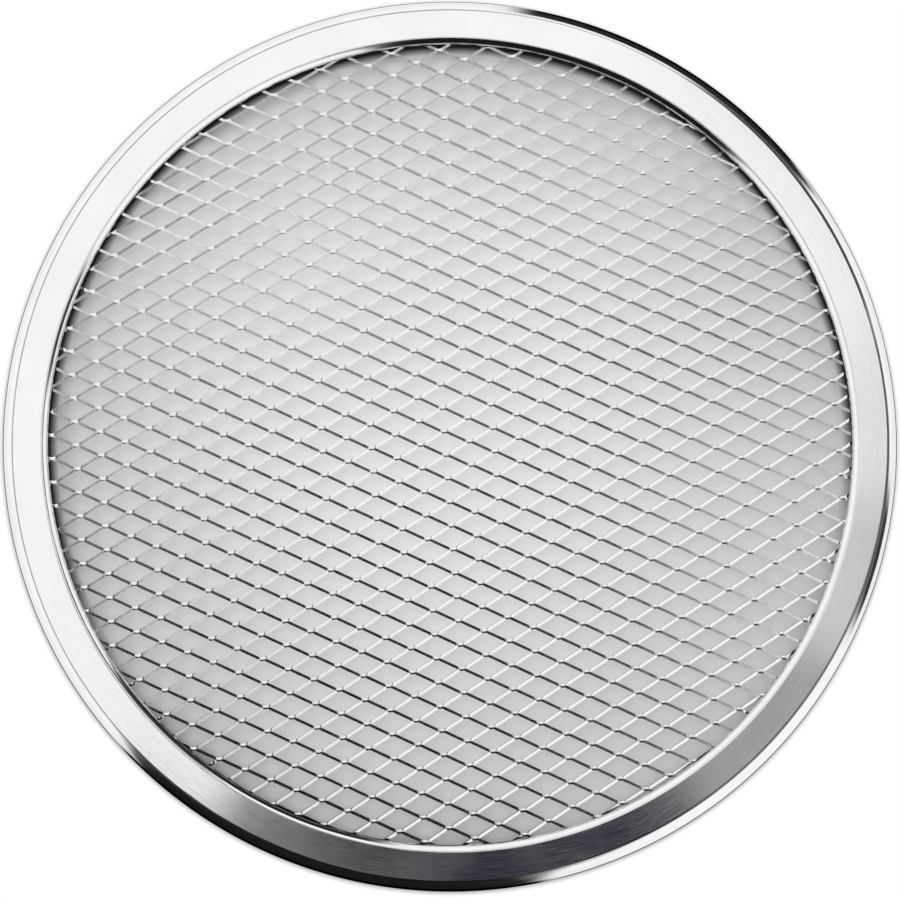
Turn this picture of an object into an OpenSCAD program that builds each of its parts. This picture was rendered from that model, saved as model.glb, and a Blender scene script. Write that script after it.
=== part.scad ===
// Pizza screen: a disc of expanded aluminium mesh, pinched in a folded aluminium rim.
// Millimetres. The origin is the middle of the plane it rests on, +Z is up,
// and +X runs along the long way of the mesh's openings.

/* [Rim] */
// Outer diameter of the screen
screen_d = 254; // [200:1:460]
// Width of the rim, seen from above
rim_w = 13; // [10:0.1:20]
// Height of the rim
rim_h = 5; // [4.8:0.1:8]
// Thickness of the sheet that the rim is folded from
sheet_t = 0.8; // [0.5:0.05:1]
// Radius of the curled inner lips
lip_r = 2; // [1.2:0.1:3]

/* [Mesh] */
// Long way of one opening, from bond to bond
long_way = 14; // [10:0.1:24]
// Short way of one opening, from bond to bond
short_way = 6.72; // [5:0.01:12]
// Width of a strand, seen from above
strand_w = 0.8; // [0.6:0.05:1.4]
// Thickness of the whole mesh, both strand directions together
mesh_t = 2.4; // [1.2:0.1:2.6]
// How far the mesh reaches into the rim, past the inner edge of the lips
mesh_tuck = 3; // [2:0.1:6]

/* [Hidden] */
$fn = 96;
// Facets of a full circle in the rim's small section, when it is shown as a mesh
section_fn = 32;

rim_r = screen_d / 2;
opening_r = rim_r - rim_w;
bend_r = rim_h / 2;
bend_x = rim_r - bend_r;
lip_x = opening_r + lip_r;
mesh_z0 = (rim_h - mesh_t) / 2;
mesh_r = opening_r + mesh_tuck;
strand_t = mesh_t / 2;

// Slope of the strands against the long way, and the distance from one strand to the next
strand_angle = atan(short_way / long_way);
strand_pitch = long_way * sin(strand_angle);
// Strands on each side of the middle. None runs its whole length behind the lips.
half_count = floor(opening_r / strand_pitch + 0.5);

// Outer bend of the rim: a half ring of sheet
module bend_section() {
    intersection() {
        translate([bend_x, bend_r]) difference() {
            circle(bend_r, $fn = section_fn);
            circle(bend_r - sheet_t, $fn = section_fn);
        }
        translate([bend_x, 0]) square([bend_r, rim_h]);
    }
}

// Lower half of the rim's section: the flat flange, and the lip that curls up to the mesh
module flange_section() {
    translate([lip_x, 0]) square([bend_x - lip_x, sheet_t]);
    intersection() {
        translate([lip_x, lip_r]) difference() {
            circle(lip_r, $fn = section_fn);
            circle(lip_r - sheet_t, $fn = section_fn);
        }
        translate([opening_r, 0]) square([lip_r, min(lip_r, mesh_z0)]);
    }
    if (mesh_z0 > lip_r)
        translate([opening_r, lip_r]) square([sheet_t, mesh_z0 - lip_r]);
}

module rim() {
    color("gainsboro")
    rotate_extrude() {
        bend_section();
        flange_section();
        translate([0, rim_h]) mirror([0, 1]) flange_section();
    }
}

// All the strands that run one way, in one flat layer. The middle of an opening is on the axis.
module strand_layer(angle) {
    linear_extrude(strand_t) intersection() {
        circle(mesh_r);
        rotate(angle) for (i = [-half_count : half_count - 1])
            translate([-mesh_r, (i + 0.5) * strand_pitch - strand_w / 2])
                square([2 * mesh_r, strand_w]);
    }
}

module expanded_mesh() {
    color("silver")
    translate([0, 0, mesh_z0]) {
        strand_layer(-strand_angle);
        translate([0, 0, strand_t]) strand_layer(strand_angle);
    }
}

rim();
expanded_mesh();
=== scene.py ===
"""A round pizza screen, seen almost from straight above.

Expanded aluminium mesh in a folded aluminium rim, on a pale floor in a white tent of light."""

import math

import bpy
import numpy as np
from mathutils import Euler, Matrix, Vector


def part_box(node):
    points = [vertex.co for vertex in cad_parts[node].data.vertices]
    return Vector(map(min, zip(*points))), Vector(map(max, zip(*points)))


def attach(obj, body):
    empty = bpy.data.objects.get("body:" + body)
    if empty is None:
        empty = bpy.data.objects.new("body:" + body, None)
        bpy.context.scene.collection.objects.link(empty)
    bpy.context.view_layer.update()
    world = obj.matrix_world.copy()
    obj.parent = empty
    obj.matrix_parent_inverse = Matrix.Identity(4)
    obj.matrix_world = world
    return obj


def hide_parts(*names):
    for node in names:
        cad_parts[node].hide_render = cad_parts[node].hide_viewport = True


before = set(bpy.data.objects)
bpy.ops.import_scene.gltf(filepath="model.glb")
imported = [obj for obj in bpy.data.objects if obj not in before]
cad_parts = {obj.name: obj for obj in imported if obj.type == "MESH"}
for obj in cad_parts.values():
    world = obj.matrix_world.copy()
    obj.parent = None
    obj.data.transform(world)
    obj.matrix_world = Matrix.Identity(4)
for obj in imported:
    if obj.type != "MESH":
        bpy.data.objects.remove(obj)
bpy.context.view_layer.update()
scene = bpy.context.scene

MM = 0.001
TAU = 2 * math.pi

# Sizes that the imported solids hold
RIM_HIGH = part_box("rim")[1]
RIM_R, RIM_H = RIM_HIGH.x, RIM_HIGH.z
MESH_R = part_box("expanded_mesh")[1].x
MID_Z = RIM_H / 2

# Rim
RIM_W = 13 * MM
SHEET_T = 0.8 * MM
LIP_R = 2 * MM
LIP_GAP = 2.4 * MM  # between the ends of the two lips
LOW_LIP_BACK = 1.3 * MM  # how far the lower lip stands back from the upper one
BEND_W = 3.25 * MM  # width of the round outer edge
FLAT_EDGE = 0.1 * MM  # how close to a curve a flat face has its first and last points
OPENING_R = RIM_R - RIM_W
RIM_TURNS = 512
SHARP_BEND = math.radians(40)

# Mesh. A lean is the angle between upright and a strand's width. A leg is the strand from bond to bond
LONG_WAY = 13.909 * MM
SHORT_WAY = 6.725 * MM
STRAND_T = 0.62 * MM
STRAND_W = 0.86 * MM
BOND_STRAND_W = 0.45 * MM
BOND = 1.5 * MM  # length of a bond, where two strands are one
RISING_LEAN = math.radians(79.5)
FALLING_LEAN = math.radians(82.5)
UPPER_LEAN = [math.radians(a) for a in (96, 114)]  # of a bond's upper strand: its lower and upper half
LOWER_LEAN = [math.radians(a) for a in (76, 84)]  # of a bond's lower strand, the same way
TWIST = 0.035  # share of a leg in which it turns from the bond's lean to its own
LEG_FALL = 0.033  # slope of a leg along the long way
LEG_EASE = 0.12  # how softly a leg starts and stops climbing

# How the mesh lies in the rim: how far it is moved and skewed along x and y, and how far inside its
# outer edge the last bonds and the last legs are
MESH_X, MESH_Y = 5.09 * MM, 1.69 * MM
SKEW_X, SKEW_Y = -0.0092, 0.0051
BOND_MARGIN = 1.5 * MM
LEG_MARGIN = 0.1 * MM

# Camera: where it stands over the screen, how it is turned, and its focal length and the
# photograph's width, both in the photograph's pixels
CAMERA_PLACE = Vector((-9.7, -51.2, 525.3)) * MM
CAMERA_TURN = [math.radians(a) for a in (5.281, -0.654, -3.801)]
FOCAL_PX = 1847.7
PHOTO_W_PX = 900
SENSOR_MM = 36


def new_mesh_object(name, verts, faces, sharp_pairs=None, smooth=True):
    """A mesh object from points and polygons. sharp_pairs is a set of vertex pairs that stay crisp."""
    mesh = bpy.data.meshes.new(name)
    mesh.from_pydata(verts, [], faces)
    mesh.polygons.foreach_set("use_smooth", [smooth] * len(mesh.polygons))
    if sharp_pairs:
        pairs = np.zeros(len(mesh.edges) * 2, np.int32)
        mesh.edges.foreach_get("vertices", pairs)
        flags = [tuple(sorted(p)) in sharp_pairs for p in pairs.reshape(-1, 2).tolist()]
        mark = mesh.attributes.new("sharp_edge", "BOOLEAN", "EDGE")
        mark.data.foreach_set("value", flags)
    mesh.validate()
    mesh.update()
    obj = bpy.data.objects.new(name, mesh)
    scene.collection.objects.link(obj)
    return obj


# Rim


def arc(cx, cy, half_w, half_h, start, stop, steps):
    """Points of an ellipse's arc in the rim's section, angles in degrees."""
    angles = [math.radians(start + (stop - start) * i / steps) for i in range(steps + 1)]
    return [(cx + half_w * math.cos(a), cy + half_h * math.sin(a)) for a in angles]


def rim_section():
    """The folded strip's closed outline as (radius, height) points: the skin, then back inside."""
    bend_x = RIM_R - BEND_W
    lip_x, lip_z = OPENING_R + LIP_R, RIM_H - LIP_R
    inner_r = LIP_R - SHEET_T
    # The upper lip curls in until it is half the gap above the middle. The lower lip mirrors it, set back
    end_z = MID_Z + LIP_GAP / 2 - lip_z
    outer_end = 180 - math.degrees(math.asin(end_z / LIP_R))
    inner_end = 180 - math.degrees(math.asin(end_z / inner_r))
    high_outer = arc(lip_x, lip_z, LIP_R, LIP_R, 90, outer_end, 10)
    high_inner = arc(lip_x, lip_z, inner_r, inner_r, inner_end, 90, 8)
    low_outer = [(x + LOW_LIP_BACK, RIM_H - z) for x, z in reversed(high_outer)]
    low_inner = [(x + LOW_LIP_BACK, RIM_H - z) for x, z in reversed(high_inner)]
    bend_outer = arc(bend_x, MID_Z, BEND_W, MID_Z, -90, 90, 28)
    bend_inner = arc(bend_x, MID_Z, BEND_W - SHEET_T, MID_Z - SHEET_T, 90, -90, 20)
    above = [(bend_x - FLAT_EDGE, RIM_H), (lip_x + FLAT_EDGE, RIM_H)]
    under = [(lip_x + LOW_LIP_BACK + FLAT_EDGE, 0), (bend_x - FLAT_EDGE, 0)]
    skin = low_outer + under + bend_outer + above + high_outer
    return skin + high_inner + bend_inner + low_inner


def build_rim():
    """The section turned into a closed ring, with the sheet's cut edges kept crisp."""
    section = rim_section()
    count = len(section)
    verts = []
    for k in range(RIM_TURNS):
        a = TAU * k / RIM_TURNS
        verts += [(r * math.cos(a), r * math.sin(a), z) for r, z in section]
    faces = []
    for k in range(RIM_TURNS):
        this, after = k * count, (k + 1) % RIM_TURNS * count
        for i in range(count):
            j = (i + 1) % count
            faces.append((this + i, after + i, after + j, this + j))
    sharp = set()
    for i in range(count):
        before, here, after = (Vector(section[(i + d) % count]) for d in (-1, 0, 1))
        if (here - before).angle(after - here) > SHARP_BEND:
            for k in range(RIM_TURNS):
                pair = (k * count + i, (k + 1) % RIM_TURNS * count + i)
                sharp.add(tuple(sorted(pair)))
    return new_mesh_object("rim_ring", verts, faces, sharp)


# Expanded mesh. A strip has stations along the long way: those of a bond, then those of a leg, and so on


BOND_STEPS = 2
LEG_STATIONS = (0, TWIST, 0.1, 0.5, 0.9, 1 - TWIST, 1)
LEG_STEPS = len(LEG_STATIONS) - 1
STEPS = BOND_STEPS + LEG_STEPS
LEG = LONG_WAY / 2 - BOND


def half_and_step(j):
    """Which half period station j lies in, counted from a bond's start, and its step there."""
    return divmod(j + BOND_STEPS // 2, STEPS)


def climbed(u):
    """How far a leg has climbed, 0 to 1, a share u of the way along it. Its ends are eased."""
    return u - LEG_EASE * math.sin(TAU * u) / TAU


def near_bond(u):
    """1 at a bond and 0 along the legs, a share u of a leg away from it."""
    t = max(0.0, 1 - u / TWIST)
    return t * t * (3 - 2 * t)


def station(j):
    """Place along the long way, level, and closeness to a low and to a high bond, of station j.

    Even bonds are low and odd bonds are high."""
    half, step = half_and_step(j)
    x = half * LONG_WAY / 2
    up = half % 2
    if step <= BOND_STEPS:
        return x + (step / BOND_STEPS - 0.5) * BOND, float(up), 1.0 - up, float(up)
    u = LEG_STATIONS[step - BOND_STEPS]
    level, near, far = climbed(u), near_bond(u), near_bond(1 - u)
    x += BOND / 2 + u * LEG
    return (x, 1 - level, far, near) if up else (x, level, near, far)


def fall(j):
    """Height of station j off the middle: legs fall a little along the long way, and bonds rise."""
    step = half_and_step(j)[1]
    if step <= BOND_STEPS:
        return LEG_FALL * LEG * (step / BOND_STEPS - 0.5)
    return LEG_FALL * LEG * (0.5 - LEG_STATIONS[step - BOND_STEPS])


# Corners of a strand's section, as shares of its width and thickness, and middle points between them
SECTION = ((0, 0), (0, 1), (0.5, 1), (1, 1), (1, 0), (0.5, 0))
# The section's sheared faces, each with the kind of bond that welds it: 0 for low, 1 for high
CUT_FACES = {0: 0, 3: 1}


def build_mesh():
    """Strips that zigzag along the long way, each welded at its high bonds to the strip above."""
    row = SHORT_WAY / 2
    rows = int(MESH_R / row) + 3
    halves = int(MESH_R / (LONG_WAY / 2)) + 3
    span = range(-halves * STEPS, halves * STEPS + 1)

    def leant(angle, length):
        return Vector((0, math.sin(angle), math.cos(angle))) * length

    low_middle = leant(UPPER_LEAN[0], BOND_STRAND_W / 2)
    high_middle = Vector((0, row, 0)) - leant(LOWER_LEAN[1], BOND_STRAND_W / 2)
    seam = (LOWER_LEAN[1] + UPPER_LEAN[0]) / 2

    def point(i, j, w, t):
        """A corner of strip i: w runs up its width, t through its thickness from the open side."""
        x, level, low, high = station(j)
        legs = 1 - low - high
        x += (i + 1) % 2 * LONG_WAY / 2 + MESH_X
        y = i * row
        spot = Vector((x + SKEW_X * y, y + SKEW_Y * x + MESH_Y, MID_Z + fall(j)))
        spot += low_middle.lerp(high_middle, level)
        leg_lean = FALLING_LEAN if half_and_step(j)[0] % 2 else RISING_LEAN
        lower, upper = (
            legs * leg_lean + low * UPPER_LEAN[k] + high * LOWER_LEAN[k] for k in (0, 1)
        )
        half_w = (legs * STRAND_W + (1 - legs) * BOND_STRAND_W) / 2
        if w == 0:
            spot -= leant(lower, half_w)
            across = lower + (seam - lower) * low
        elif w == 1:
            spot += leant(upper, half_w)
            across = upper + (seam - upper) * high
        else:
            across = (lower + upper) / 2
        return spot + leant(across + math.pi / 2, (t - 0.5) * STRAND_T)

    def reach(i, j, w):
        spot = point(i, j, w, 0)
        return math.hypot(spot.x, spot.y)

    def bond_kept(i, half):
        """Whether the bond of strip i at a half period lies inside the mesh."""
        return reach(i, half * STEPS, half % 2) < MESH_R - BOND_MARGIN

    def bond_of(j):
        """The half period whose bond the step after station j belongs to, or None on a leg."""
        half, step = half_and_step(j)
        return half if step < BOND_STEPS else None

    def inside(i, j):
        return max(reach(i, j, 0), reach(i, j, 1)) < MESH_R - LEG_MARGIN

    # Which steps of each strip are there. A strip's bond is kept whole or not at all
    kept = set()
    for i in range(-rows, rows + 1):
        run = []
        for j in span:
            half = bond_of(j)
            here = inside(i, j) and inside(i, j + 1) if half is None else bond_kept(i, half)
            if here:
                run.append(j)
            if run and (not here or j == span[-1]):
                if any(bond_of(j) is not None for j in run):
                    kept.update((i, j) for j in run)
                run = []

    verts, faces, sharp, index = [], [], set(), {}
    cut = []

    def corner(i, j, w, t):
        """A corner's number. A high bond's upper corners are the next strip's lower ones."""
        half, step = half_and_step(j)
        if w == 1 and step <= BOND_STEPS and half % 2 == 1 and bond_kept(i, half):
            i, j, w = i + 1, j - STEPS if i % 2 else j + STEPS, 0
        name = i, j, w, t
        if name not in index:
            index[name] = len(verts)
            verts.append(point(i, j, w, t))
        return index[name]

    count = len(SECTION)
    for i, j in sorted(kept):
        a = [corner(i, j, w, t) for w, t in SECTION]
        b = [corner(i, j + 1, w, t) for w, t in SECTION]
        half = bond_of(j)
        welded = None if half is None else half % 2
        for k in range(count):
            n = (k + 1) % count
            # Where a bond is welded to the next strip, there is no face between them
            if welded is None or CUT_FACES.get(k) != welded:
                faces.append((a[k], a[n], b[n], b[k]))
                cut.append(float(k in CUT_FACES))
            w = SECTION[k][0]
            if w != 0.5 and w != welded:
                sharp.add(tuple(sorted((a[k], b[k]))))
        if (i, j - 1) not in kept:
            faces.append(tuple(reversed(a)))
            cut.append(1.0)
        if (i, j + 1) not in kept:
            faces.append(tuple(b))
            cut.append(1.0)
    disc = new_mesh_object("mesh_disc", verts, faces, sharp)
    disc.data.attributes.new("cut", "FLOAT", "FACE").data.foreach_set("value", cut)
    return disc


# Materials


class Nodes:
    """Short names for making and linking shader nodes in one tree."""

    def __init__(self, tree):
        self.tree = tree
        tree.nodes.clear()

    def join(self, socket, value):
        """Link value to the socket if it is a socket too, and set it there if it is a plain value."""
        if isinstance(value, bpy.types.NodeSocket):
            self.tree.links.new(value, socket)
        else:
            socket.default_value = value

    def add(self, kind, **inputs):
        """A new node. Each input is named as in Blender, with _ for a space."""
        node = self.tree.nodes.new(kind)
        for name, value in inputs.items():
            self.join(node.inputs[name.replace("_", " ")], value)
        return node

    def math(self, operation, *values):
        node = self.tree.nodes.new("ShaderNodeMath")
        node.operation = operation
        for socket, value in zip(node.inputs, values):
            self.join(socket, value)
        return node.outputs[0]

    def product(self, *values):
        """All the values multiplied."""
        total = values[0]
        for value in values[1:]:
            total = self.math("MULTIPLY", total, value)
        return total

    def ramp(self, value, low, high, to_low=0.0, to_high=1.0, smooth=True):
        """value mapped from low..high to to_low..to_high and held at its ends, which are soft or not."""
        sizes = {"From_Min": low, "From_Max": high, "To_Min": to_low, "To_Max": to_high}
        node = self.add("ShaderNodeMapRange", Value=value, **sizes)
        node.interpolation_type = "SMOOTHSTEP" if smooth else "LINEAR"
        return node.outputs[0]

    def polar(self, x, y):
        """Distance from the middle, and bearing from the x axis in radians."""
        squares = self.math("ADD", self.math("MULTIPLY", x, x), self.math("MULTIPLY", y, y))
        return self.math("SQRT", squares), self.math("ARCTAN2", y, x)

    def sector(self, bearing, middle_deg, half_deg, soft_deg):
        """1 within half_deg of a bearing and 0 away from it, with soft edges."""
        turned = self.math("SUBTRACT", bearing, math.radians(middle_deg))
        wrapped = self.math("ARCTAN2", self.math("SINE", turned), self.math("COSINE", turned))
        low, high = math.radians(half_deg - soft_deg), math.radians(half_deg + soft_deg)
        return self.ramp(self.math("ABSOLUTE", wrapped), low, high, 1.0, 0.0)

    def band(self, value, near, far, soft):
        """1 between near and far and 0 outside them, with soft edges."""
        inner = self.ramp(value, near - soft, near + soft)
        outer = self.ramp(value, far - soft, far + soft, 1.0, 0.0)
        return self.math("MULTIPLY", inner, outer)

    def noise(self, place, scale, detail):
        node = self.add("ShaderNodeTexNoise", Vector=place, Scale=scale, Detail=detail, Roughness=0.6)
        return node.outputs["Fac"]

    def bump(self, height, strength, distance):
        node = self.add("ShaderNodeBump", Strength=strength, Distance=distance, Height=height)
        return node.outputs[0]

    def mix_color(self, factor, first, second):
        """From the first colour at 0 to the second at 1. Each is a socket, or red, green and blue."""
        node = self.add("ShaderNodeMix")
        node.data_type = "RGBA"
        self.join(node.inputs["Factor"], factor)
        for socket, color in ((node.inputs[6], first), (node.inputs[7], second)):
            self.join(socket, color if isinstance(color, bpy.types.NodeSocket) else (*color, 1))
        return node.outputs[2]


def new_material(name):
    material = bpy.data.materials.new(name)
    material.use_nodes = True
    return material, Nodes(material.node_tree)


def bare_metal(n, color, rough, normal):
    """Finish a material as metal of this colour, roughness and bump."""
    inputs = {"Base_Color": color, "Roughness": rough, "Metallic": 1.0, "Normal": normal}
    shader = n.add("ShaderNodeBsdfPrincipled", **inputs)
    n.add("ShaderNodeOutputMaterial", Surface=shader.outputs[0])


def rolled_aluminium():
    """The rim: bright rolled sheet with fine grain round the ring and a grey line of painted dark
    reflection on its shoulder.
    """
    material, n = new_material("rolled_aluminium")
    place = n.add("ShaderNodeTexCoord").outputs["Object"]
    x, y, z = n.add("ShaderNodeSeparateXYZ", Vector=place).outputs
    radius, bearing = n.polar(x, y)

    # The grain's noise is stretched round the ring: 14 steps a radian, 2600 a metre across. Height
    # counts as width in part, so that the round edge has grain as well
    along = n.math("MULTIPLY", bearing, 14.0)
    across = n.math("MULTIPLY", n.math("ADD", radius, n.math("MULTIPLY", z, 0.7)), 2600.0)
    grain = n.noise(n.add("ShaderNodeCombineXYZ", X=along, Y=across).outputs[0], 1.0, 3.0)
    cloud = n.noise(place, 60.0, 3.0)
    rough = n.math("ADD", n.ramp(grain, 0.3, 0.7, 0.06, 0.09), n.ramp(cloud, 0.3, 0.7, 0.0, 0.02))
    sheet_color = n.mix_color(n.ramp(cloud, 0.35, 0.65), (0.90, 0.90, 0.905), (0.94, 0.94, 0.935))

    # The shoulder's line, a painted dark reflection on the rim's upper half, wider, darker and further in
    # at the lower right
    deep = n.sector(bearing, 315, 34, 12)
    middle = n.math("MULTIPLY_ADD", deep, -0.25 * MM, RIM_R - BEND_W + 0.15 * MM)
    half_w = n.math("MULTIPLY_ADD", deep, 0.25 * MM, 0.25 * MM)
    off = n.math("ABSOLUTE", n.math("SUBTRACT", radius, middle))
    line = n.math("MAXIMUM", n.math("SUBTRACT", 1.0, n.math("DIVIDE", off, half_w)), 0.0)
    upper = n.ramp(z, MID_Z, RIM_H * 0.9)
    painted_reflection = n.product(line, upper, n.math("MULTIPLY_ADD", deep, 0.3, 0.66))
    # The painted dark reflection darkens the sheet's colour along the shoulder
    color = n.mix_color(painted_reflection, sheet_color, (0.12, 0.12, 0.12))
    bare_metal(n, color, rough, n.bump(grain, 0.16, 0.04 * MM))
    return material


def cut_aluminium():
    """The mesh: bright sheet, whose sheared edges are duller, and painted darker as shade along the
    strands' edges.
    """
    material, n = new_material("cut_aluminium")
    place = n.add("ShaderNodeTexCoord").outputs["Object"]
    cloud = n.noise(place, 900.0, 2.0)
    edge = n.add("ShaderNodeAttribute")
    edge.attribute_name = "cut"
    sheared = edge.outputs["Fac"]
    # The sheared faces' darker colour is painted shade that draws a dark line along each strand's edge;
    # their extra roughness is real
    color = n.mix_color(sheared, (0.93, 0.93, 0.93), (0.48, 0.48, 0.48))
    rough = n.math("MULTIPLY_ADD", sheared, 0.2, n.ramp(cloud, 0.3, 0.7, 0.12, 0.18))
    bare_metal(n, color, rough, n.bump(cloud, 0.15, 0.05 * MM))
    return material


def floor_white():
    """Pale floor, grey under the mesh, with painted shade darkening it away from a spot off the middle
    and a painted shadow under the rim. The camera and the metal see it as plain white round the rim.
    """
    material, n = new_material("floor_white")
    place = n.add("ShaderNodeTexCoord").outputs["Object"]
    x, y, _ = n.add("ShaderNodeSeparateXYZ", Vector=place).outputs
    radius, bearing = n.polar(x, y)
    path = n.add("ShaderNodeLightPath")
    camera, glossy = path.outputs["Is Camera Ray"], path.outputs["Is Glossy Ray"]

    # Metal sees two dark sides: one from inside the opening's edge outwards, one outside the rim
    beside = n.ramp(radius, OPENING_R - 14 * MM, OPENING_R - 10 * MM)
    outside = n.ramp(radius, RIM_R + 1 * MM, RIM_R + 2 * MM)
    front = n.math("MULTIPLY", beside, n.sector(bearing, 249, 30, 2))
    back = n.math("MULTIPLY", outside, n.sector(bearing, 55.5, 22, 3))
    dark = n.math("MULTIPLY", glossy, n.math("MAXIMUM", front, back))
    bare = n.math("MAXIMUM", dark, n.ramp(radius, RIM_R + 4 * MM, RIM_R + 14 * MM))
    mirrored = n.math("MULTIPLY", glossy, bare)
    seen = n.math("MULTIPLY", camera, n.ramp(radius, RIM_R - 1 * MM, RIM_R + 2 * MM))

    # Painted light falloff: the floor's grey is painted palest a little off the middle and darker away
    # from there
    off_x, off_y = n.math("ADD", x, 5 * MM), n.math("ADD", y, -20 * MM)
    pale = n.ramp(n.polar(off_x, off_y)[0], 30 * MM, 150 * MM, 0.97, 0.72)

    # Painted shadow: the floor is nearly black in under the rim, and from just inside the lip on except
    # at the front
    tucked = n.ramp(radius, OPENING_R - 1.9 * MM, OPENING_R + 0.4 * MM, smooth=False)
    deep_in = n.ramp(radius, OPENING_R + 2 * MM, OPENING_R + 3 * MM)
    sunk = n.math("MAXIMUM", n.sector(bearing, 97, 105, 15), deep_in)
    under = n.product(tucked, sunk, n.ramp(radius, RIM_R + 3 * MM, RIM_R + 8 * MM, 1.0, 0.0))
    # The painted shadow multiplies the floor's grey down to 0.05 under the rim
    pale = n.math("MULTIPLY", pale, n.ramp(under, 0.0, 1.0, 1.0, 0.05, smooth=False))

    color = n.add("ShaderNodeCombineColor", Red=pale, Green=pale, Blue=pale)
    diffuse = n.add("ShaderNodeBsdfDiffuse", Color=color.outputs[0])
    glow = n.math("SUBTRACT", 1.0, dark)
    white = n.add("ShaderNodeEmission", Color=(1, 1, 1, 1), Strength=glow)
    mix = n.add("ShaderNodeMixShader")
    parts = n.math("MAXIMUM", seen, mirrored), diffuse.outputs[0], white.outputs[0]
    for socket, part in zip(mix.inputs, parts):
        n.join(socket, part)
    n.add("ShaderNodeOutputMaterial", Surface=mix.outputs[0])
    return material


# Studio


FLOOR_HALF = 3.0


def build_floor():
    """A level square under the screen, which rests on it at height 0."""
    sides = ((-1, -1), (1, -1), (1, 1), (-1, 1))
    corners = [(x * FLOOR_HALF, y * FLOOR_HALF, 0) for x, y in sides]
    floor = new_mesh_object("floor", corners, [(0, 1, 2, 3)], smooth=False)
    floor.data.materials.append(floor_white())


# Dark things round the tent's opening and grey gaps in them: the middle, half width and edge of
# the bearing in degrees, how far out they start and end, their edge there, and their level
TENT_MID = (0.02, 0.1)
FAR = 99
TENT_CARDS = (
    # The middle, which only the strands mirror
    (0, 360, 2, -1, 0.17, 0.02, 0.8),
    (242, 30, 5, -1, 0.17, 0.03, 0.38),
    (212, 20, 4, -1, 0.19, 0.02, 0.5),
    # The ring that the rim's flat band mirrors
    (240.5, 5.5, 1.5, 0.18, 0.26, 0.015, 0.13),
    (254, 8, 1.5, 0.18, 0.26, 0.015, 0.03),
    (281, 19, 1.5, 0.18, 0.275, 0.015, 0.02),
    (312.5, 12.5, 1.5, 0.18, 0.26, 0.015, 0.32),
    (335, 12, 5, 0.18, 0.26, 0.015, 0.64),
    (355, 14, 6, 0.18, 0.26, 0.015, 0.85),
    # Farther out, for the rim's round edge, its lip and the strands
    (249, 30, 2, 0.262, FAR, 0.015, 0.01),
    (349, 66, 3, 0.262, 0.34, 0.015, 0.45),
    (283, 5, 2, 0.3, 0.6, 0.03, 0.65),
    (149.5, 69.5, 4, 0.29, 0.42, 0.03, 0.65),
    (342, 9, 3, 0.55, 1.8, 0.1, 0.03),
    (352, 20, 4, 0.29, 0.6, 0.04, 0.15),
    (32.5, 19.5, 3, 0.29, 0.75, 0.04, 0.08),
    (55.5, 22, 2, 0.75, FAR, 0.08, 0.02),
)
TENT_GAPS = (
    (227, 7, 3, 0.3, 0.42, 0.04, 0.13),
)
BLUE_CARD = (281, 20, 4, 0.18, 0.27, 0.015)
BLUE_LEVEL = 0.014
LOWEST_UP = 0.05


def tent_seen_in_metal(n, way):
    """Brightness of the white tent that the metal mirrors, and the same with a touch more blue.

    A direction is given by its bearing round the opening and by how far out it lies on a
    level plane one metre up."""
    x, y, z = n.add("ShaderNodeSeparateXYZ", Vector=way).outputs
    up = n.math("MAXIMUM", z, LOWEST_UP)
    across = n.math("SUBTRACT", n.math("DIVIDE", x, up), TENT_MID[0])
    along = n.math("SUBTRACT", n.math("DIVIDE", y, up), TENT_MID[1])
    out, bearing = n.polar(across, along)

    def patch(middle, half, soft, near, far, fade):
        """1 in one part of the tent and 0 outside it."""
        return n.math("MULTIPLY", n.sector(bearing, middle, half, soft), n.band(out, near, far, fade))

    # The tent is a little greyer down its walls, apart from one side
    light = n.ramp(n.math("ARCCOSINE", z), math.radians(45), math.radians(90), 1.0, 0.88)
    light = n.math("MAXIMUM", light, n.sector(bearing, 310, 30, 10))
    for *place, level in TENT_CARDS:
        shade = n.ramp(patch(*place), 0.0, 1.0, 1.0, level, smooth=False)
        light = n.math("MULTIPLY", light, shade)
    for *place, level in TENT_GAPS:
        light = n.math("MAXIMUM", light, n.math("MULTIPLY", patch(*place), level))
    return light, n.math("MULTIPLY_ADD", patch(*BLUE_CARD), BLUE_LEVEL, light)


# Plain light: its level from all sides, and what a soft box adds on one side
PLAIN_LEVEL = 0.66
SOFTBOX_LEVEL = 0.9
SOFTBOX_WAY = Vector((-0.52, 0.66, 0.55)).normalized()


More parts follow.
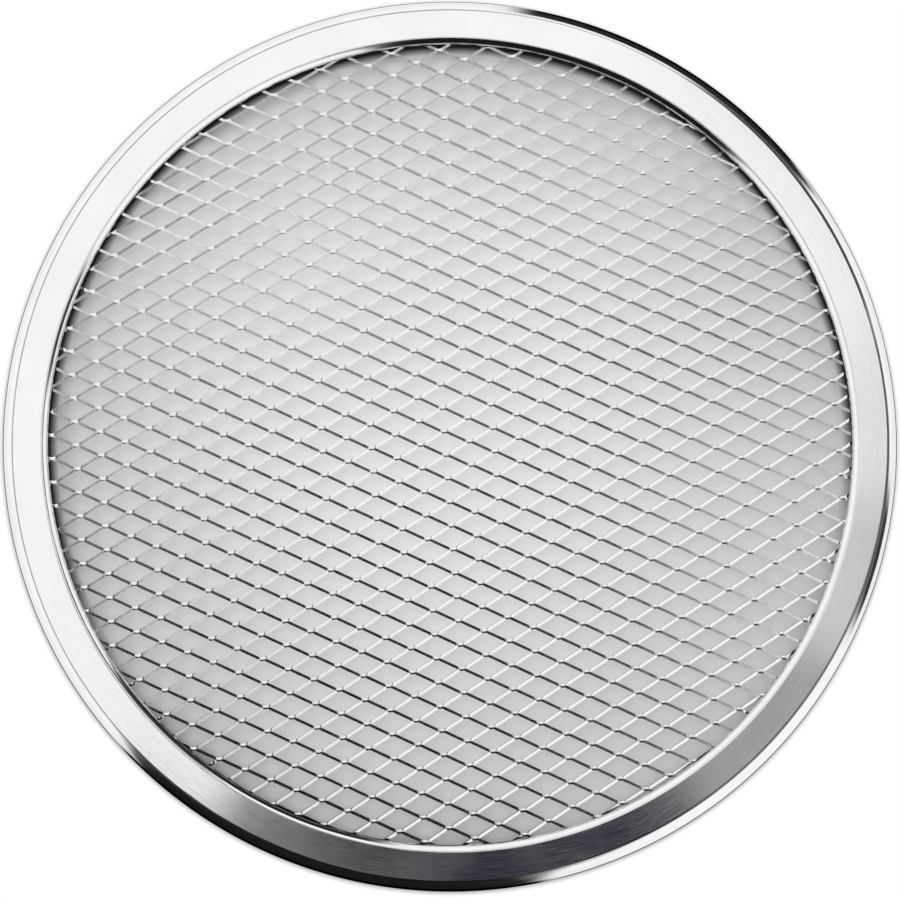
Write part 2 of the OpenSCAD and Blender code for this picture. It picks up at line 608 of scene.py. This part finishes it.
def build_world():
    """Plain light for the floor, and a white tent with dark things in it for the metal to mirror.

    The camera sees white. Metal that the floor sees mirrors nothing, so it throws no bright spots."""
    world = bpy.data.worlds.new("tent")
    scene.world = world
    world.use_nodes = True
    world.cycles.sampling_method = "NONE"
    n = Nodes(world.node_tree)
    way = n.add("ShaderNodeTexCoord").outputs["Generated"]
    mirrored, mirrored_blue = tent_seen_in_metal(n, way)
    path = n.add("ShaderNodeLightPath")
    glossy = path.outputs["Is Glossy Ray"]
    toward = n.add("ShaderNodeVectorMath")
    toward.operation = "DOT_PRODUCT"
    n.join(toward.inputs[0], way)
    n.join(toward.inputs[1], SOFTBOX_WAY)
    soft = n.ramp(toward.outputs["Value"], 0.2, 1.0, 0.0, SOFTBOX_LEVEL)
    soft = n.math("MAXIMUM", n.math("ADD", PLAIN_LEVEL, soft), path.outputs["Is Camera Ray"])
    plain = n.math("MULTIPLY", soft, n.math("SUBTRACT", 1.0, glossy))
    first = n.math("MULTIPLY", glossy, n.math("LESS_THAN", path.outputs["Diffuse Depth"], 0.5))
    light = n.math("MULTIPLY_ADD", mirrored, first, plain)
    blue = n.math("MULTIPLY_ADD", mirrored_blue, first, plain)
    color = n.add("ShaderNodeCombineColor", Red=light, Green=light, Blue=blue)
    background = n.add("ShaderNodeBackground", Color=color.outputs[0], Strength=1.0)
    n.add("ShaderNodeOutputWorld", Surface=background.outputs[0])


def build_camera():
    """The photograph's camera, fitted to the rim's edges and the mesh lines."""
    data = bpy.data.cameras.new("camera")
    data.sensor_width = SENSOR_MM
    data.lens = SENSOR_MM * FOCAL_PX / PHOTO_W_PX
    data.clip_start = 0.01
    camera = bpy.data.objects.new("camera", data)
    camera.location = CAMERA_PLACE
    camera.rotation_euler = Euler(CAMERA_TURN, "XYZ")
    scene.collection.objects.link(camera)
    scene.camera = camera


build_camera()
build_world()
build_floor()

rim = build_rim()
rim.data.materials.append(rolled_aluminium())
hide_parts("rim")
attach(rim, "root")

disc = build_mesh()
disc.data.materials.append(cut_aluminium())
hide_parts("expanded_mesh")
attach(disc, "root")

scene.view_settings.view_transform = "Standard"
